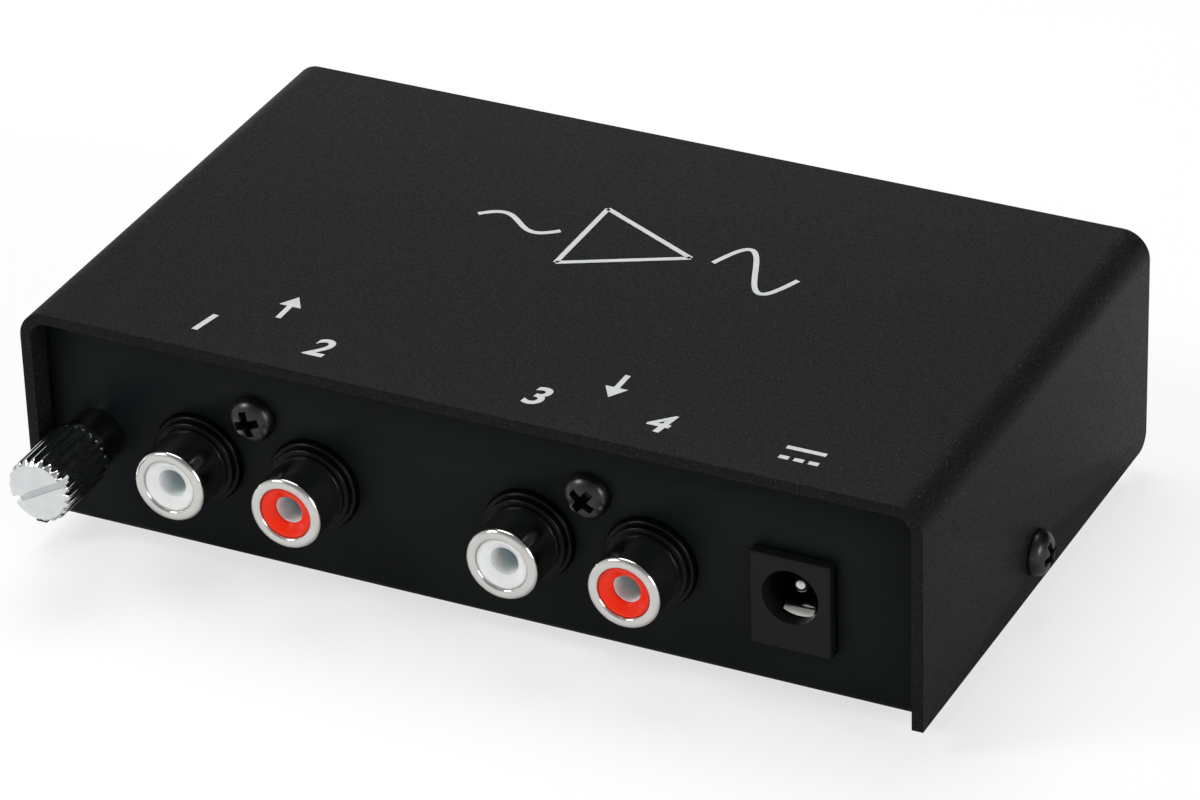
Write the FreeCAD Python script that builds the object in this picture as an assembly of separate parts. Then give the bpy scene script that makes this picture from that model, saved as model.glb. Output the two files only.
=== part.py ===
import FreeCAD, Part
import math
import os

# Small phono preamplifier in a folded steel case, millimetres.
# X runs along the case, -Y is the side with the sockets, Z is up, and the rubber feet stand on Z = 0.

# Lid: a sheet folded down over the top and both ends
lid_width = 104.6
lid_depth = 62.2
lid_height = 26.45
lid_sheet = 1.3
lid_bend = 3.2
lid_rear_corner = 2.0

# Chassis: floor and two panels from one sheet, set back inside the lid
chassis_sheet = 1.0
chassis_bend = 1.2
panel_recess = 2.8
chassis_drop = 0.35
panel_side_gap = 0.5
panel_top_gap = 0.3
ear_width = 12.0
ear_height = 9.5
ear_gap = 0.1

# Rubber feet
foot_height = 2.5
foot_radius = 4.0
foot_draft = 0.5
foot_inset_x = 12.0
foot_inset_y = 11.0

# Pan-head screws: two through the lid's ends, two through the panel
screw_head_radius = 2.6
screw_head_height = 1.9
screw_head_rim = 0.5
screw_radius = 1.25
screw_hole_gap = 0.35
lid_screw_length = 5.0
lid_screw_from_front = 30.1
lid_screw_height = 4.5
jack_screw_length = 7.0

# Circuit board on its standoffs
board_sheet = 1.6
board_screw_tip_gap = 1.3
board_front_gap = 0.4
board_rear_gap = 3.0
standoff_height = 2.8
standoff_radius = 2.5
standoff_from_board_end = 4.5
standoff_behind_jacks = 3.4
standoff_from_board_rear = 4.5
board_screw_head_radius = 2.2
board_screw_head_height = 1.4
board_screw_length = 4.0
board_hole_gap = 0.25
tail_gap = 0.1
tail_sheet = 0.4
tail_below_board = 1.0

# Phono sockets, in two pairs
input_pair_from_terminal = 19.3
output_pair_from_dc = 23.25
jack_pitch = 14.0
jack_axis_above_board = 6.1
jack_reach = 6.9
shell_radius = 4.15
shell_bore = 2.95
shell_rim = 0.55
shell_lip = 0.35
shell_tail_width = 2.4
shell_seat_radius = 3.9
shell_seat_gap = 0.15
collar_radius = 5.2
collar_proud = 0.8
collar_edge = 0.25
inner_collar_radius = 4.75
inner_collar_proud = 1.5
collar_hole_gap = 0.15
housing_lobe = 6.2
housing_depth = 9.5
housing_boss_radius = 3.4
jack_screw_above_axis = 6.5
insulator_recess = 0.3
funnel_mouth = 2.7
funnel_depth = 2.3
pin_bore = 1.6
pin_bore_lip = 0.4
contact_wall = 0.4
contact_slit = 0.4
contact_slit_length = 5.0
insulator_stickout = 1.4
contact_stickout = 0.8
contact_tail_width = 1.4

# Power socket
dc_from_panel_end = 13.65
dc_width = 9.0
dc_height = 11.0
dc_length = 14.0
dc_axis_above_board = 6.45
dc_proud = 1.2
dc_edge = 0.3
dc_cutout_gap = 0.25
dc_cutout_corner = 0.8
dc_bore = 3.175
dc_bore_depth = 10.5
dc_pin_radius = 1.05
dc_pin_nose = 0.63
dc_pin_seat_radius = 0.85
dc_pin_seat_gap = 0.15
dc_pin_setback = 2.2
dc_pin_tail_width = 2.0
leaf_width = 3.4
leaf_sheet = 0.35
leaf_setback = 1.8
leaf_root_from_rear = 2.0
leaf_crest_from_tip = 3.6
leaf_crest_below_axis = 2.15
leaf_tip_drop = 0.5
leaf_root_drop = 1.5
leaf_roll = 0.3
leaf_slot_gap = 0.3
leaf_slot_below_axis = 4.7

# Ground terminal: fixed post, captive washer and fluted thumbscrew
terminal_from_panel_end = 5.4
post_radius = 3.1
post_length = 4.0
post_shank_radius = 2.4
post_shank_length = 8.5
post_hole_gap = 0.1
post_bore_extra = 2.0
washer_radius = 3.45
washer_sheet = 0.55
washer_gap = 0.05
thumb_radius = 3.75
thumb_length = 8.6
thumb_front_chamfer = 0.6
thumb_rear_chamfer = 0.35
thumb_flutes = 24
flute_depth = 0.42
flute_share = 0.56
thumb_slot_width = 0.8
thumb_slot_depth = 1.1
thumb_slot_turn = 62.0
thread_radius = 1.5
thread_gap = 0.05
thread_length = 8.0
relief_radius = 1.2
relief_length = 1.4
terminal_nut_flats = 7.0
terminal_nut_height = 2.4
lug_radius = 4.0
lug_sheet = 0.5
lug_width = 2.6

# Parts on the board
can_radius = 2.5
can_height = 6.5
can_rim = 0.35
can_groove = 0.22
can_groove_start = 0.8
can_groove_height = 0.8
power_can_radius = 4.0
power_can_height = 11.0
film_length = 7.2
film_width = 4.4
film_height = 7.6
film_edge = 0.5
chip_length = 9.4
chip_width = 6.4
chip_height = 3.2
chip_lift = 0.5
chip_pin_pitch = 2.54
chip_pin_width = 0.5
chip_pin_sheet = 0.25
chip_pin_spread = 7.62
chip_pins_each_side = 4
resistor_radius = 1.15
resistor_length = 6.2
diode_radius = 1.35
diode_length = 5.0
wire_radius = 0.3
wire_reach = 1.9
wire_bend = 0.9
regulator_radius = 2.3
regulator_flat = 1.4
regulator_height = 4.6
regulator_lift = 2.0
regulator_leg = 0.45
regulator_leg_pitch = 1.27
row_gap = 1.5
film_from_pair = 9.0
resistor_from_pair = 8.5
resistor_step = 3.5
power_can_from_dc = 4.0
diode_from_dc = 5.0

# Places that follow from the sizes above
thumb_reach = post_length + washer_gap + washer_sheet + washer_gap + thumb_length - panel_recess
whole_depth = lid_depth + thumb_reach
lid_front = thumb_reach - whole_depth / 2
lid_rear = lid_front + lid_depth
lid_inner_half = lid_width / 2 - lid_sheet
floor_bottom = foot_height
floor_top = floor_bottom + chassis_sheet
lid_edge = floor_bottom + chassis_drop
lid_top = lid_edge + lid_height
panel_face = lid_front + panel_recess
panel_back = panel_face + chassis_sheet
rear_panel_face = lid_rear - panel_recess
rear_panel_back = rear_panel_face - chassis_sheet
panel_half = lid_inner_half - panel_side_gap
panel_top = lid_top - lid_sheet - panel_top_gap
terminal_x = terminal_from_panel_end - panel_half
dc_x = panel_half - dc_from_panel_end
input_pair_x = terminal_x + input_pair_from_terminal
output_pair_x = dc_x - output_pair_from_dc
board_half_width = lid_width / 2 - lid_screw_length - board_screw_tip_gap
standoff_x = board_half_width - standoff_from_board_end
board_bottom = floor_top + standoff_height
board_top = board_bottom + board_sheet
board_front = panel_back + board_front_gap
board_rear = rear_panel_back - board_rear_gap
jack_axis = board_top + jack_axis_above_board
jack_tip = panel_face - jack_reach
housing_rear = panel_back + housing_depth
jack_screw_axis = jack_axis + jack_screw_above_axis
dc_face = panel_face - dc_proud
dc_rear = dc_face + dc_length
dc_axis = board_top + dc_axis_above_board
lid_screw_y = lid_front + lid_screw_from_front
lid_screw_z = lid_edge + lid_screw_height
standoff_front_y = housing_rear + insulator_stickout + contact_stickout + standoff_behind_jacks
standoff_rear_y = board_rear - standoff_from_board_rear
tail_end = board_bottom - tail_below_board
can_row = standoff_front_y + can_radius
resistor_row = can_row + can_radius + row_gap + resistor_length / 2 + wire_reach
chip_row = can_row + can_radius + row_gap + chip_pin_spread / 2
film_row = resistor_row + resistor_length / 2 + wire_reach + row_gap
rear_can_row = chip_row + chip_pin_spread / 2 + row_gap + can_radius
power_row = can_row + row_gap + 2 * power_can_radius
regulator_row = power_row + power_can_radius + row_gap + regulator_radius

across = FreeCAD.Vector(1, 0, 0)
rearward = FreeCAD.Vector(0, 1, 0)
forward = FreeCAD.Vector(0, -1, 0)
upward = FreeCAD.Vector(0, 0, 1)
downward = FreeCAD.Vector(0, 0, -1)
tiny = 1e-4
spill = 1.0


def block(x0, x1, y0, y1, z0, z1):
    return Part.makeBox(x1 - x0, y1 - y0, z1 - z0, FreeCAD.Vector(x0, y0, z0))


def rod(radius, length, start, direction):
    return Part.makeCylinder(radius, length, start, direction)


def point(x, y, z):
    return FreeCAD.Vector(x, y, z)


def turned(outline, start=None, direction=None):
    # outline holds pairs of radius and distance along the axis
    corners = [point(radius, 0, distance) for radius, distance in outline]
    face = Part.Face(Part.makePolygon(corners + [corners[0]]))
    solid = face.revolve(point(0, 0, 0), upward, 360)
    return aimed(solid, start, direction)


def aimed(solid, start, direction):
    if start is None:
        return solid
    turn = FreeCAD.Rotation(upward, direction)
    solid.Placement = FreeCAD.Placement(start, turn).multiply(solid.Placement)
    return solid


def circles(solid, radius, distance):
    found = []
    for edge in solid.Edges:
        if isinstance(edge.Curve, Part.Circle):
            same_radius = abs(edge.Curve.Radius - radius) < tiny
            if same_radius and abs(edge.Curve.Center.z - distance) < tiny:
                found.append(edge)
    return found


def sheet_outline(corners, radii, plane_point):
    # closed outline with an arc of the given radius at each corner that has one
    edges = []
    starts = []
    ends = []
    count = len(corners)
    for index in range(count):
        here = plane_point(*corners[index])
        before = plane_point(*corners[index - 1])
        after = plane_point(*corners[(index + 1) % count])
        radius = radii[index]
        if radius == 0:
            starts.append(here)
            ends.append(here)
            continue
        to_before = (before - here).normalize()
        to_after = (after - here).normalize()
        half_angle = to_before.getAngle(to_after) / 2
        along = radius / math.tan(half_angle)
        first = here + to_before * along
        last = here + to_after * along
        bisector = (to_before + to_after).normalize()
        middle = here + bisector * (radius / math.sin(half_angle) - radius)
        edges.append(Part.Arc(first, middle, last).toShape())
        starts.append(first)
        ends.append(last)
    for index in range(count):
        begin = ends[index]
        finish = starts[(index + 1) % count]
        if (finish - begin).Length > tiny:
            edges.append(Part.makeLine(begin, finish))
    return Part.Face(Part.Wire(Part.__sortEdges__(edges)))


def in_xz(x, z):
    return point(x, 0, z)


def in_yz(y, z):
    return point(0, y, z)


def pan_screw(head_radius, head_height, length, seat, direction):
    # direction points out of the head; the head is a low dome on a short rim
    rim = screw_head_rim
    rise = head_height - rim
    dome = (head_radius ** 2 + rise ** 2) / (2 * rise)
    ball = Part.makeSphere(dome, point(0, 0, head_height - dome))
    head = rod(head_radius, head_height, point(0, 0, 0), upward).common(ball)
    shank = rod(screw_radius, length, point(0, 0, -length), upward)
    return aimed(head.fuse(shank).removeSplitter(), seat, direction)


def make_lid():
    half = lid_width / 2
    inner = lid_inner_half
    under = lid_top - lid_sheet
    corners = [(-half, lid_edge), (-half, lid_top), (half, lid_top), (half, lid_edge),
               (inner, lid_edge), (inner, under), (-inner, under), (-inner, lid_edge)]
    inside_bend = lid_bend - lid_sheet
    radii = [0, lid_bend, lid_bend, 0, 0, inside_bend, inside_bend, 0]
    lid = sheet_outline(corners, radii, in_xz).extrude(rearward * lid_depth)
    lid.translate(point(0, lid_front, 0))
    # each end's lower rear corner is rounded
    corner = block(-half - spill, half + spill, lid_rear - lid_rear_corner, lid_rear + spill,
                   lid_edge - spill, lid_edge + lid_rear_corner)
    keep = rod(lid_rear_corner, lid_width + 4 * spill,
               point(-half - 2 * spill, lid_rear - lid_rear_corner, lid_edge + lid_rear_corner), across)
    lid = lid.cut(corner.cut(keep))
    hole_radius = screw_radius + screw_hole_gap
    holes = rod(hole_radius, lid_width + 2 * spill,
                point(-half - spill, lid_screw_y, lid_screw_z), across)
    return lid.cut(holes)


def make_ear(side):
    outer = lid_inner_half - ear_gap
    inside_bend = chassis_bend - chassis_sheet
    corners = [(panel_half - ear_height, floor_bottom), (outer, floor_bottom),
               (outer, floor_bottom + ear_height), (outer - chassis_sheet, floor_bottom + ear_height),
               (outer - chassis_sheet, floor_top), (panel_half - ear_height, floor_top)]
    radii = [0, chassis_bend, 0, 0, inside_bend, 0]
    ear = sheet_outline(corners, radii, in_xz).extrude(rearward * ear_width)
    ear.translate(point(0, lid_screw_y - ear_width / 2, 0))
    if side < 0:
        ear = ear.mirror(point(0, 0, 0), across)
    return ear


def jack_places():
    return [pair + side * jack_pitch / 2 for pair in (input_pair_x, output_pair_x) for side in (-1, 1)]


def make_chassis():
    corners = [(panel_face, floor_bottom), (rear_panel_face, floor_bottom), (rear_panel_face, panel_top),
               (rear_panel_back, panel_top), (rear_panel_back, floor_top), (panel_back, floor_top),
               (panel_back, panel_top), (panel_face, panel_top)]
    inside_bend = chassis_bend - chassis_sheet
    radii = [chassis_bend, chassis_bend, 0, 0, inside_bend, inside_bend, 0, 0]
    chassis = sheet_outline(corners, radii, in_yz).extrude(across * (2 * panel_half))
    chassis.translate(point(-panel_half, 0, 0))
    chassis = chassis.fuse([make_ear(-1), make_ear(1)]).removeSplitter()
    cuts = []
    start = panel_face - spill
    through = chassis_sheet + 2 * spill
    for x in jack_places():
        cuts.append(rod(collar_radius + collar_hole_gap, through, point(x, start, jack_axis), rearward))
    for x in (input_pair_x, output_pair_x):
        cuts.append(rod(screw_radius + screw_hole_gap, through, point(x, start, jack_screw_axis), rearward))
    cuts.append(rod(post_shank_radius + post_hole_gap, through,
                    point(terminal_x, start, jack_axis), rearward))
    left = dc_x - dc_width / 2 - dc_cutout_gap
    right = dc_x + dc_width / 2 + dc_cutout_gap
    low = board_top - dc_cutout_gap
    high = board_top + dc_height + dc_cutout_gap
    window = sheet_outline([(left, low), (right, low), (right, high), (left, high)],
                           [dc_cutout_corner] * 4, in_xz).extrude(rearward * through)
    window.translate(point(0, start, 0))
    cuts.append(window)
    # tapped holes for the two lid screws
    reach = lid_inner_half - ear_gap
    cuts.append(rod(screw_radius, 2 * reach + 2 * spill,
                    point(-reach - spill, lid_screw_y, lid_screw_z), across))
    return chassis.cut(cuts)


def make_feet():
    feet = []
    for x in (-1, 1):
        for y in (panel_face + foot_inset_y, rear_panel_face - foot_inset_y):
            foot = turned([(0, 0), (foot_radius - foot_draft, 0), (foot_radius, foot_height),
                           (0, foot_height)])
            foot = foot.makeFillet(foot_draft, circles(foot, foot_radius - foot_draft, 0))
            foot.translate(point(x * (lid_width / 2 - foot_inset_x), y, 0))
            feet.append(foot)
    return feet


def make_lid_screws():
    screws = []
    for side in (-1, 1):
        seat = point(side * lid_width / 2, lid_screw_y, lid_screw_z)
        screws.append(pan_screw(screw_head_radius, screw_head_height, lid_screw_length, seat, across * side))
    return screws


def make_jack_screws():
    screws = []
    for x in (input_pair_x, output_pair_x):
        seat = point(x, panel_face, jack_screw_axis)
        screws.append(pan_screw(screw_head_radius, screw_head_height, jack_screw_length, seat, forward))
    return screws


def make_jack_housing(x):
    y = panel_back
    left = x - jack_pitch / 2
    right = x + jack_pitch / 2
    base = block(left - housing_lobe, right + housing_lobe, y, housing_rear, board_top, jack_axis)
    parts = []
    for centre in (left, right):
        parts.append(rod(housing_lobe, housing_depth, point(centre, y, jack_axis), rearward))
        step = rod(collar_radius, chassis_sheet + collar_proud, point(0, 0, 0), upward)
        step = step.makeFillet(collar_edge, circles(step, collar_radius, chassis_sheet + collar_proud))
        front = rod(inner_collar_radius, chassis_sheet + inner_collar_proud, point(0, 0, 0), upward)
        front = front.makeFillet(collar_edge,
                                 circles(front, inner_collar_radius, chassis_sheet + inner_collar_proud))
        for collar in (step, front):
            parts.append(aimed(collar, point(centre, y, jack_axis), forward))
    parts.append(block(x - housing_boss_radius, x + housing_boss_radius, y, housing_rear,
                       jack_axis - spill, jack_screw_axis))
    parts.append(rod(housing_boss_radius, housing_depth, point(x, y, jack_screw_axis), rearward))
    housing = base.fuse(parts).removeSplitter()
    cuts = [rod(screw_radius, jack_screw_length - chassis_sheet, point(x, y, jack_screw_axis), rearward)]
    for centre in (left, right):
        cuts.append(rod(shell_seat_radius, jack_reach + chassis_sheet + housing_depth + spill,
                        point(centre, jack_tip, jack_axis), rearward))
    # the lobes end flat on the board
    cuts.append(block(left - 2 * housing_lobe, right + 2 * housing_lobe, y - spill, housing_rear + spill,
                      board_top - 2 * housing_lobe, board_top))
    return housing.cut(cuts)


def make_shell(x):
    length = housing_rear + tail_sheet - jack_tip
    # the sleeve narrows just in front of the collar, where it goes into the housing
    step = jack_reach - inner_collar_proud - shell_seat_gap
    shell = turned([(shell_bore, 0), (shell_radius, 0), (shell_radius, step), (shell_seat_radius, step),
                    (shell_seat_radius, length), (shell_bore, length)])
    shell = shell.makeFillet(shell_rim, circles(shell, shell_radius, 0))
    shell = shell.makeFillet(shell_lip, circles(shell, shell_bore, 0))
    shell = aimed(shell, point(x, jack_tip, jack_axis), rearward)
    tail = block(x - shell_tail_width / 2, x + shell_tail_width / 2, housing_rear, housing_rear + tail_sheet,
                 tail_end, jack_axis - (shell_bore + shell_seat_radius) / 2)
    return shell.fuse(tail).removeSplitter()


def make_insulator(x):
    start = insulator_recess
    length = housing_rear + insulator_stickout - jack_tip
    floor = start + funnel_depth
    seat = floor + pin_bore_lip
    contact_radius = pin_bore + contact_wall
    insulator = turned([(funnel_mouth, start), (shell_bore, start), (shell_bore, length),
                        (contact_radius, length), (contact_radius, seat), (pin_bore, seat),
                        (pin_bore, floor)])
    return aimed(insulator, point(x, jack_tip, jack_axis), rearward)


def make_contact(x):
    start = insulator_recess + funnel_depth + pin_bore_lip
    length = housing_rear + insulator_stickout + contact_stickout - jack_tip
    contact_radius = pin_bore + contact_wall
    contact = turned([(pin_bore, start), (contact_radius, start), (contact_radius, length),
                      (pin_bore, length)])
    slit = block(-contact_radius - spill, contact_radius + spill, -contact_slit / 2, contact_slit / 2,
                 start - spill, start + contact_slit_length)
    contact = aimed(contact.cut(slit), point(x, jack_tip, jack_axis), rearward)
    rear = jack_tip + length
    tail = block(x - contact_tail_width / 2, x + contact_tail_width / 2, rear - tail_sheet, rear,
                 tail_end, jack_axis - pin_bore)
    bore = rod(pin_bore, length, point(x, jack_tip, jack_axis), rearward)
    return contact.fuse(tail.cut(bore)).removeSplitter()


def make_dc_housing():
    left = dc_x - dc_width / 2
    right = dc_x + dc_width / 2
    body = block(left, right, dc_face, dc_rear, board_top, board_top + dc_height)
    front = [edge for edge in body.Edges if abs(edge.CenterOfMass.y - dc_face) < tiny]
    body = body.makeFillet(dc_edge, front)
    bore = rod(dc_bore, dc_bore_depth, point(dc_x, dc_face, dc_axis), rearward)
    pin = rod(dc_pin_seat_radius, dc_length, point(dc_x, dc_face, dc_axis), rearward)
    half = leaf_width / 2 + leaf_slot_gap
    slot = block(dc_x - half, dc_x + half, dc_face + leaf_setback - leaf_slot_gap, dc_rear + spill,
                 dc_axis - leaf_slot_below_axis, dc_axis - leaf_crest_below_axis)
    foot_slot = block(dc_x - half, dc_x + half, leaf_root() + leaf_roll, dc_rear + spill,
                      board_top - spill, dc_axis - leaf_crest_below_axis)
    return body.cut([bore, pin, slot, foot_slot])


def leaf_root():
    return dc_rear - leaf_root_from_rear


def leaf_terminal_front():
    return leaf_root() + leaf_roll + tail_gap


def make_dc_pin():
    # round nose, narrower shank through the housing and a flat tail down into the board
    length = dc_length - dc_pin_setback + tail_sheet
    step = dc_bore_depth - dc_pin_setback - dc_pin_seat_gap
    pin = turned([(0, 0), (dc_pin_radius, 0), (dc_pin_radius, step), (dc_pin_seat_radius, step),
                  (dc_pin_seat_radius, length), (0, length)])
    pin = pin.makeFillet(dc_pin_nose, circles(pin, dc_pin_radius, 0))
    pin = aimed(pin, point(dc_x, dc_face + dc_pin_setback, dc_axis), rearward)
    half = dc_pin_tail_width / 2
    tail = block(dc_x - half, dc_x + half, dc_rear, dc_rear + tail_sheet, tail_end, dc_axis)
    return pin.fuse(tail).removeSplitter()


def make_dc_leaf():
    # one bent strip: short tip, crest that presses on the plug, long arm back to its root
    crest_y = dc_face + leaf_setback + leaf_crest_from_tip
    crest_z = dc_axis - leaf_crest_below_axis
    tip = point(0, dc_face + leaf_setback, crest_z - leaf_tip_drop)
    root = point(0, leaf_root(), crest_z - leaf_root_drop)
    crest = point(0, crest_y, crest_z)
    down = downward * leaf_sheet
    top_edge = Part.Arc(tip, crest, root).toShape()
    low_edge = Part.Arc(tip + down, crest + down, root + down).toShape()
    ends = [Part.makeLine(tip, tip + down), Part.makeLine(root, root + down)]
    face = Part.Face(Part.Wire(Part.__sortEdges__([top_edge, low_edge] + ends)))
    leaf = face.extrude(across * leaf_width)
    # the root is rolled, and the leaf turns about the roll
    roll = rod(leaf_roll, leaf_width, root + down / 2, across)
    leaf = leaf.fuse(roll).removeSplitter()
    leaf.translate(point(dc_x - leaf_width / 2, 0, 0))
    return leaf


def make_dc_leaf_terminal():
    # carries the leaf's root and is soldered into the board
    start = leaf_terminal_front()
    half = leaf_width / 2
    top = dc_axis - leaf_crest_below_axis - leaf_root_drop + leaf_sheet
    return block(dc_x - half, dc_x + half, start, start + tail_sheet, tail_end, top)


def make_post():
    length = post_length + post_shank_length
    bore = thread_radius + thread_gap
    bore_depth = relief_length + thread_length + post_bore_extra
    outline = [(bore, 0), (post_radius, 0), (post_radius, post_length), (post_shank_radius, post_length),
               (post_shank_radius, length), (0, length), (0, bore_depth), (bore, bore_depth)]
    return turned(outline, point(terminal_x, panel_face - post_length, jack_axis), rearward)


def make_washer():
    start = panel_face - post_length - washer_gap - washer_sheet
    hole = relief_radius + thread_gap
    washer = turned([(hole, 0), (washer_radius, 0), (washer_radius, washer_sheet), (hole, washer_sheet)])
    return aimed(washer, point(terminal_x, start, jack_axis), rearward)


def fluted_face():
    # crests are arcs of the full radius, flutes are arcs that dip towards the axis
    edges = []
    step = 2 * math.pi / thumb_flutes
    dip = thumb_radius - flute_depth
    for index in range(thumb_flutes):
        begin = index * step
        crest_end = begin + step * (1 - flute_share)
        finish = begin + step
        angles = [begin, (begin + crest_end) / 2, crest_end]
        crest = [point(thumb_radius * math.cos(a), thumb_radius * math.sin(a), 0) for a in angles]
        valley_angle = (crest_end + finish) / 2
        valley = point(dip * math.cos(valley_angle), dip * math.sin(valley_angle), 0)
        next_crest = point(thumb_radius * math.cos(finish), thumb_radius * math.sin(finish), 0)
        edges.append(Part.Arc(*crest).toShape())
        edges.append(Part.Arc(crest[2], valley, next_crest).toShape())
    return Part.Face(Part.Wire(edges))


def make_thumbscrew():
    fluted = fluted_face().extrude(upward * thumb_length)
    front = thumb_radius - thumb_front_chamfer
    rear = thumb_radius - thumb_rear_chamfer
    envelope = turned([(0, 0), (front, 0), (thumb_radius + tiny, thumb_front_chamfer),
                       (thumb_radius + tiny, thumb_length - thumb_rear_chamfer), (rear, thumb_length),
                       (0, thumb_length)])
    head = fluted.common(envelope)
    slot = block(-thumb_radius - spill, thumb_radius + spill, -thumb_slot_width / 2, thumb_slot_width / 2,
                 -spill, thumb_slot_depth)
    slot.rotate(point(0, 0, 0), upward, thumb_slot_turn)
    shank = turned([(0, thumb_length - spill), (relief_radius, thumb_length - spill),
                    (relief_radius, thumb_length + relief_length),
                    (thread_radius, thumb_length + relief_length),
                    (thread_radius, thumb_length + relief_length + thread_length),
                    (0, thumb_length + relief_length + thread_length)])
    screw = head.cut(slot).fuse(shank).removeSplitter()
    start = panel_face - post_length - 2 * washer_gap - washer_sheet - thumb_length
    return aimed(screw, point(terminal_x, start, jack_axis), rearward)


def make_lug():
    y = panel_back
    ring = rod(lug_radius, lug_sheet, point(terminal_x, y, jack_axis), rearward)
    strip = block(terminal_x - lug_width / 2, terminal_x + lug_width / 2, y, y + lug_sheet,
                  tail_end, jack_axis)
    hole = rod(post_shank_radius, lug_sheet, point(terminal_x, y, jack_axis), rearward)
    return ring.fuse(strip).removeSplitter().cut(hole)


def make_terminal_nut():
    across_corners = terminal_nut_flats / math.cos(math.pi / 6) / 2
    corners = []
    for index in range(7):
        angle = index * math.pi / 3
        corners.append(point(across_corners * math.cos(angle), 0, across_corners * math.sin(angle)))
    nut = Part.Face(Part.makePolygon(corners)).extrude(rearward * terminal_nut_height)
    nut = nut.cut(rod(post_shank_radius, terminal_nut_height, point(0, 0, 0), rearward))
    nut.translate(point(terminal_x, panel_back + lug_sheet, jack_axis))
    return nut


def tail_slots():
    slots = []
    gap = tail_gap

    def slot(x, width, y, sheet):
        slots.append(block(x - width / 2 - gap, x + width / 2 + gap, y - gap, y + sheet + gap,
                           board_bottom - spill, board_top + spill))
    contact_rear = housing_rear + insulator_stickout + contact_stickout
    for x in jack_places():
        slot(x, shell_tail_width, housing_rear, tail_sheet)
        slot(x, contact_tail_width, contact_rear - tail_sheet, tail_sheet)
    slot(dc_x, dc_pin_tail_width, dc_rear, tail_sheet)
    slot(dc_x, leaf_width, leaf_terminal_front(), tail_sheet)
    slot(terminal_x, lug_width, panel_back, lug_sheet)
    return slots


def standoff_places():
    return [(x, y) for x in (-standoff_x, standoff_x) for y in (standoff_front_y, standoff_rear_y)]


def make_board():
    board = block(-board_half_width, board_half_width, board_front, board_rear, board_bottom, board_top)
    cuts = tail_slots()
    for x, y in standoff_places():
        cuts.append(rod(screw_radius + board_hole_gap, board_sheet + 2 * spill,
                        point(x, y, board_bottom - spill), upward))
    return board.cut(cuts)


def make_standoffs():
    standoffs = []
    for x, y in standoff_places():
        outline = [(screw_radius, 0), (standoff_radius, 0), (standoff_radius, standoff_height),
                   (screw_radius, standoff_height)]
        standoffs.append(turned(outline, point(x, y, floor_top), upward))
    return standoffs


def make_board_screws():
    screws = []
    for x, y in standoff_places():
        seat = point(x, y, board_top)
        screws.append(pan_screw(board_screw_head_radius, board_screw_head_height, board_screw_length,
                                seat, upward))
    return screws


def make_can(radius, height, x, y):
    # rolled groove near the foot, rounded shoulder at the top
    groove_low = can_groove_start
    groove_high = can_groove_start + can_groove_height
    waist = radius - can_groove
    can = turned([(0, 0), (radius, 0), (radius, groove_low), (waist, (groove_low + groove_high) / 2),
                  (radius, groove_high), (radius, height), (0, height)])
    can = can.makeFillet(can_rim, circles(can, radius, height))
    can.translate(point(x, y, board_top))
    return can


def make_cans():
    places = [(x, can_row) for x in jack_places()]
    places += [(input_pair_x, rear_can_row), (output_pair_x, rear_can_row)]
    return [make_can(can_radius, can_height, x, y) for x, y in places]


def make_power_can():
    return make_can(power_can_radius, power_can_height, dc_x - power_can_from_dc, power_row)


def make_film_capacitors():
    films = []
    places = [pair + side * film_from_pair for pair in (input_pair_x, output_pair_x) for side in (-1, 1)]
    for x in places:
        film = block(x - film_length / 2, x + film_length / 2, film_row, film_row + film_width,
                     board_top, board_top + film_height)
        tops = [edge for edge in film.Edges if edge.CenterOfMass.z > board_top + tiny]
        films.append(film.makeFillet(film_edge, tops))
    return films


def make_chip(x, y):
    low = board_top + chip_lift
    middle = low + chip_height / 2
    body = block(x - chip_length / 2, x + chip_length / 2, y - chip_width / 2, y + chip_width / 2,
                 low, low + chip_height)
    tops = [edge for edge in body.Edges if edge.CenterOfMass.z > low + chip_height - tiny]
    body = body.makeChamfer(chip_lift, tops)
    notch = rod(chip_lift, chip_lift, point(x - chip_length / 2 + chip_lift, y, low + chip_height), downward)
    body = body.cut(notch)
    pins = []
    spread = chip_pin_spread / 2
    for index in range(chip_pins_each_side):
        at = x + (index - (chip_pins_each_side - 1) / 2) * chip_pin_pitch
        for side in (-1, 1):
            y0, y1 = sorted((side * (chip_width / 2 - chip_lift), side * spread))
            pins.append(block(at - chip_pin_width / 2, at + chip_pin_width / 2, y + y0, y + y1,
                              middle, middle + chip_pin_sheet))
            y0, y1 = sorted((side * (spread - chip_pin_sheet), side * spread))
            pins.append(block(at - chip_pin_width / 2, at + chip_pin_width / 2, y + y0, y + y1,
                              board_top, middle + chip_pin_sheet))
    return body.fuse(pins).removeSplitter()


def make_chips():
    return [make_chip(input_pair_x, chip_row), make_chip(output_pair_x, chip_row)]


def axial_part(radius, length, x, y):
    # body along Y on two wires that bend down into the board
    body = rod(radius, length, point(0, -length / 2, radius), rearward)
    span = length / 2 + wire_reach
    bend = wire_bend
    high = radius - bend
    quarter = bend * math.sqrt(0.5)
    wires = []
    for side in (-1, 1):
        start = point(0, side * length / 2, radius)
        turn_in = point(0, side * (span - bend), radius)
        turn_mid = point(0, side * (span - bend + quarter), radius - bend + quarter)
        turn_out = point(0, side * span, high)
        foot = point(0, side * span, 0)
        path = [Part.makeLine(start, turn_in), Part.Arc(turn_in, turn_mid, turn_out).toShape(),
                Part.makeLine(turn_out, foot)]
        section = Part.Wire(Part.makeCircle(wire_radius, start, rearward))
        wires.append(Part.Wire(path).makePipeShell([section], True, False))
    part = body.fuse(wires).removeSplitter()
    part.translate(point(x, y, board_top))
    return part


def make_resistors():
    resistors = []
    for pair in (input_pair_x, output_pair_x):
        for side in (-1, 1):
            for step in (0, 1):
                x = pair + side * (resistor_from_pair + step * resistor_step)
                resistors.append(axial_part(resistor_radius, resistor_length, x, resistor_row))
    return resistors


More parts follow.
